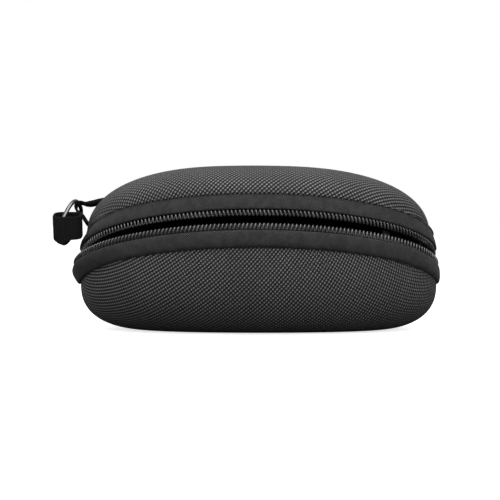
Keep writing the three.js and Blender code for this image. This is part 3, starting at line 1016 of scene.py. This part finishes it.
@dataclass
class EndHardware:
    """The side loop, the ring that hangs in it and the ribbon loop on the ring.

    Args:
        eye: Where the ring's bar lies in the side loop.
        bar: Direction of the ring's bar, up and towards the front.
        leg: Rough direction of the ring's legs, down.
    """

    eye: Vector = field(default_factory=lambda: Vector((-79.35, -2.65, 56.05)) * MM)
    bar: Vector = field(default_factory=lambda: Vector((-0.17, -0.86, 0.47)).normalized())
    leg: Vector = field(default_factory=lambda: Vector((-0.392, -0.382, -0.838)))
    ring_half: tuple[float, float] = (7.3 * MM, 9.6 * MM)
    ring_power: float = 3.0
    bar_offset: float = 1.6 * MM
    wire: float = 0.9 * MM
    ribbon_at: Vector = field(default_factory=lambda: Vector((-83.4, -13.8, 47.3)) * MM)
    ribbon_half: tuple[float, float] = (5.8 * MM, 4.8 * MM)
    ribbon_tilt: float = math.radians(13)
    ribbon_width: float = 10.4 * MM
    steps: int = 60

    @staticmethod
    def racetrack(half_x: float, half_y: float, radius: float, count: int) -> list[Vector]:
        """Points round a rectangle with round corners, evenly spaced."""
        corners = [(half_x - radius, half_y - radius, 0), (radius - half_x, half_y - radius, 90),
                   (radius - half_x, radius - half_y, 180), (half_x - radius, radius - half_y, 270)]
        dense = []
        for x, y, start in corners:
            for k in range(17):
                angle = math.radians(start + 90 * k / 16)
                dense.append(Vector((x + radius * math.cos(angle), y + radius * math.sin(angle), 0)))
        dense.append(dense[0])
        runs = np.r_[0, np.cumsum([(b - a).length for a, b in zip(dense, dense[1:])])]
        wanted = np.linspace(0, runs[-1], count, endpoint=False)
        xs = np.interp(wanted, runs, [p.x for p in dense])
        ys = np.interp(wanted, runs, [p.y for p in dense])
        return [Vector((x, y, 0)) for x, y in zip(xs, ys)]

    def ring_axes(self) -> Matrix:
        """The ring's place: X along the bar, Y down its legs."""
        face = self.bar.cross(self.leg).normalized()
        down = face.cross(self.bar)
        middle = self.eye + self.bar * self.bar_offset + down * self.ring_half[1]
        return Matrix.Translation(middle) @ Matrix((self.bar, down, face)).transposed().to_4x4()

    def build(self) -> None:
        """Builds and dresses the three pieces and the stitching."""
        self.build_side_loop()
        axes = self.ring_axes()
        path = []
        points = 2 * self.steps
        for k in range(points):
            angle = 2 * math.pi * k / points
            c, s = math.cos(angle), math.sin(angle)
            path.append(axes @ Vector((
                self.ring_half[0] * math.copysign(abs(c) ** (2 / self.ring_power), c),
                self.ring_half[1] * math.copysign(abs(s) ** (2 / self.ring_power), s),
                0,
            )))
        ring = tube("carrying_ring", path, self.wire, 4, cyclic=True)
        dress(ring, "ring_metal", Body.RING, "ring")
        self.build_ribbon()

    def build_side_loop(self) -> None:
        """A narrow webbing strip folded round the ring's bar and sewn under the lid's band."""
        line = smooth_line([self.eye + Vector((x, 0, z)) * MM for x, z in STRAP_KNOTS], self.steps)
        section = rounded(-0.5 * MM, 1.0 * MM, -0.6 * MM, 2.4 * MM, 6, 16)
        last = self.steps - 1
        length = sum((b - a).length for a, b in zip(line, line[1:]))

        def put(s: float, out: float, across: float) -> Vector:
            k = round(s * last)
            along = (line[min(k + 1, last)] - line[max(k - 1, 0)]).normalized()
            fuller = 1 + 0.8 * smoothstep((line[k] - self.eye).length, 2 * MM, 5 * MM)
            return line[k] + Vector((-along.z, 0, along.x)) * out * fuller - self.bar * across

        loop = sweep("side_loop_webbing", section, last, False, length, put)
        dress(loop, "webbing", Body.LID, "side_loop")

    def build_ribbon(self) -> None:
        """The ribbon loop round the ring's front leg, closed by a bar of stitches."""
        count = 96
        half = self.ribbon_width / 2
        track = self.racetrack(*self.ribbon_half, 3 * MM, count)
        turn = Matrix.Translation(self.ribbon_at) @ Matrix.Rotation(self.ribbon_tilt, 4, "X")
        section = rounded(-0.5 * MM, 1.0 * MM, -half, half, 8, 20)
        length = sum((b - a).length for a, b in zip(track, track[1:] + track[:1]))

        def put(s: float, out: float, up: float) -> Vector:
            k = round(s * count) % count
            along = (track[(k + 1) % count] - track[k - 1]).normalized()
            at = track[k]
            sag = 2.2 * MM * math.exp(-((at.x / MM + 2.4) / 2.6) ** 2) * max(0.0, -up / half)
            return turn @ (at + Vector((along.y, -along.x, 0)) * out + Vector((0, 0, up - sag)))

        ribbon = sweep("ribbon_loop_band", section, count, True, length, put)
        dress(ribbon, "webbing", Body.RIBBON, "ribbon_loop")
        zigzag = []
        rows = 22
        for k in range(rows + 1):
            z = -half + 1.2 * MM + (2 * half - 2.4 * MM) * k / rows
            x = (2.0 + (0.7 if k % 2 else -0.7)) * MM
            zigzag.append(turn @ Vector((x, 5.45 * MM, z)))
        tack = tube("ribbon_bartack_thread", zigzag, 0.22 * MM, 1)
        dress(tack, "thread", Body.RIBBON, "ribbon_bartack")


def smooth_line(knots: list[Vector], count: int) -> list[Vector]:
    """Evenly counted points on a smooth curve through knots."""
    padded = [knots[0] * 2 - knots[1], *knots, knots[-1] * 2 - knots[-2]]
    line = []
    for k in range(count):
        spot = k / (count - 1) * (len(knots) - 1)
        i = min(int(spot), len(knots) - 2)
        t = spot - i
        a, b, c, d = padded[i:i + 4]
        line.append(0.5 * (2 * b + (c - a) * t + (2 * a - 5 * b + 4 * c - d) * t ** 2
                           + (3 * b - a - 3 * c + d) * t ** 3))
    return line


@dataclass
class InnerTab:
    """The small tab that shows through the gap, right of the front's middle.

    Args:
        half_width: Half of its width along the rim.
        section: Corners of its section, as insets and rises in mm.
        steps: Segments along the rim.
    """

    half_width: float = 1.8 * MM
    section: tuple = ((7.8, -9), (9.2, 2.4), (10.2, 2.4), (8.8, -9))
    steps: int = 6

    def build(self) -> None:
        """Builds and dresses the tab where the CAD node stands."""
        low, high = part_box("inner_tab")
        middle = Vector(((low.x + high.x) / 2, (low.y + high.y) / 2, 0))
        shares = np.linspace(0.5, 0.75, 200)
        share = min(shares, key=lambda s: (RIM.wall(s, 8 * MM, 0).xy - middle.xy).length)
        reach = self.half_width / RIM.length
        turned = [(x * MM, -z * MM) for x, z in self.section]
        tab = wall_strip("cloth_tab", BASE_FORM, turned, share - reach, share + reach, self.steps)
        dress(tab, "grey_tab", Body.BASE, "inner_tab")


# ------ studio


@dataclass
class Studio:
    """The floor, the soft light and the camera.

    Args:
        target: What the camera looks at.
        distance: From the camera to the target.
        elevation: The camera's angle above level.
        view_width: Width of the view at the target.
        lamps: Name, place, size and power of each soft light.
    """

    target: Vector = field(default_factory=lambda: Vector((-2.7, 0, 36.2)) * MM)
    distance: float = 600 * MM
    elevation: float = math.radians(1.5)
    view_width: float = 226.8 * MM
    lamps: tuple = (
        ("top_front", (0.05, -0.45, 0.7), 0.9, 8.0),
        ("front_left", (-0.6, -0.6, 0.3), 0.6, 3.0),
        ("front_right", (0.6, -0.6, 0.3), 0.6, 3.0),
    )

    def build(self) -> None:
        """Sets the scene round the case."""
        self.build_floor()
        self.build_world()
        for lamp in self.lamps:
            self.area(*lamp)
        self.build_camera()

    def build_floor(self) -> None:
        """A wide pale floor."""
        bm = bmesh.new()
        bmesh.ops.create_grid(bm, x_segments=2, y_segments=2, size=6)
        bmesh.ops.translate(bm, verts=bm.verts, vec=(0, 0, -0.2 * MM))
        floor = finish_mesh(bm, "floor")
        material = bpy.data.materials.new("pale_floor")
        material.use_nodes = True
        g = Graph(material.node_tree)
        seen = g.node("ShaderNodeLightPath").outputs["Is Camera Ray"]
        pale = g.node("ShaderNodeBsdfDiffuse", Color=(0.9, 0.9, 0.9, 1))
        glow = g.node("ShaderNodeEmission", Color=(1, 1, 1, 1), Strength=0.75)
        bright = g.node("ShaderNodeAddShader", i0=pale.outputs[0], i1=glow.outputs[0])
        dim = g.node("ShaderNodeBsdfDiffuse", Color=(0.06, 0.06, 0.06, 1))
        either = g.node("ShaderNodeMixShader", i0=seen, i1=dim.outputs[0], i2=bright.outputs[0])
        out = g.node("ShaderNodeOutputMaterial")
        g.tree.links.new(either.outputs[0], out.inputs[0])
        floor.data.materials.append(material)

    @staticmethod
    def build_world() -> None:
        """A white surround that lights the case more from above."""
        world = bpy.data.worlds.new("white_room")
        bpy.context.scene.world = world
        world.use_nodes = True
        g = Graph(world.node_tree)
        seen = g.node("ShaderNodeLightPath").outputs["Is Camera Ray"]
        up = g.node("ShaderNodeSeparateXYZ", Vector=g.node("ShaderNodeTexCoord").outputs["Generated"])
        soft = g.steps(up.outputs[2], -0.1, 0.9, 0.1, 0.55)
        room = g.node("ShaderNodeBackground", Color=(1, 1, 1, 1), Strength=soft)
        white = g.node("ShaderNodeBackground", Color=(1, 1, 1, 1), Strength=1.0)
        either = g.node("ShaderNodeMixShader", i0=seen, i1=room.outputs[0], i2=white.outputs[0])
        out = g.node("ShaderNodeOutputWorld")
        g.tree.links.new(either.outputs[0], out.inputs[0])
        bpy.context.scene.view_settings.view_transform = "Standard"

    @staticmethod
    def area(name: str, place: tuple[float, float, float], size: float, power: float) -> None:
        """A soft square light that faces the case."""
        light = bpy.data.lights.new(name, "AREA")
        light.size = size
        light.energy = power
        lamp = bpy.data.objects.new(name, light)
        lamp.location = place
        lamp.rotation_euler = (Vector((0, 0, 0.04)) - lamp.location).to_track_quat("-Z", "Y").to_euler()
        bpy.context.scene.collection.objects.link(lamp)

    def build_camera(self) -> None:
        """A long lens, nearly level, square to the zip side."""
        data = bpy.data.cameras.new("camera")
        data.sensor_width = 36
        data.lens = data.sensor_width * self.distance / self.view_width
        data.clip_end = 20
        camera = bpy.data.objects.new("camera", data)
        away = Vector((0, -math.cos(self.elevation), math.sin(self.elevation)))
        camera.location = self.target + away * self.distance
        camera.rotation_euler = (-away).to_track_quat("-Z", "Y").to_euler()
        bpy.context.scene.collection.objects.link(camera)
        bpy.context.scene.camera = camera


def main() -> None:
    """Builds the case, piece by piece, and the studio round it."""
    logging.basicConfig(level=logging.INFO, format="%(name)s: %(message)s")
    Studio().build()
    for form in (BASE_FORM, LID_FORM):
        Shell(form).build()
    ZipRow(BASE_FORM, left_degrees=97.0).build()
    ZipRow(LID_FORM, left_degrees=152.0, offset=0.5).build()
    BackHinge().build()
    Slider().build()
    EndHardware().build()
    InnerTab().build()


if __name__ == "__main__":
    main()
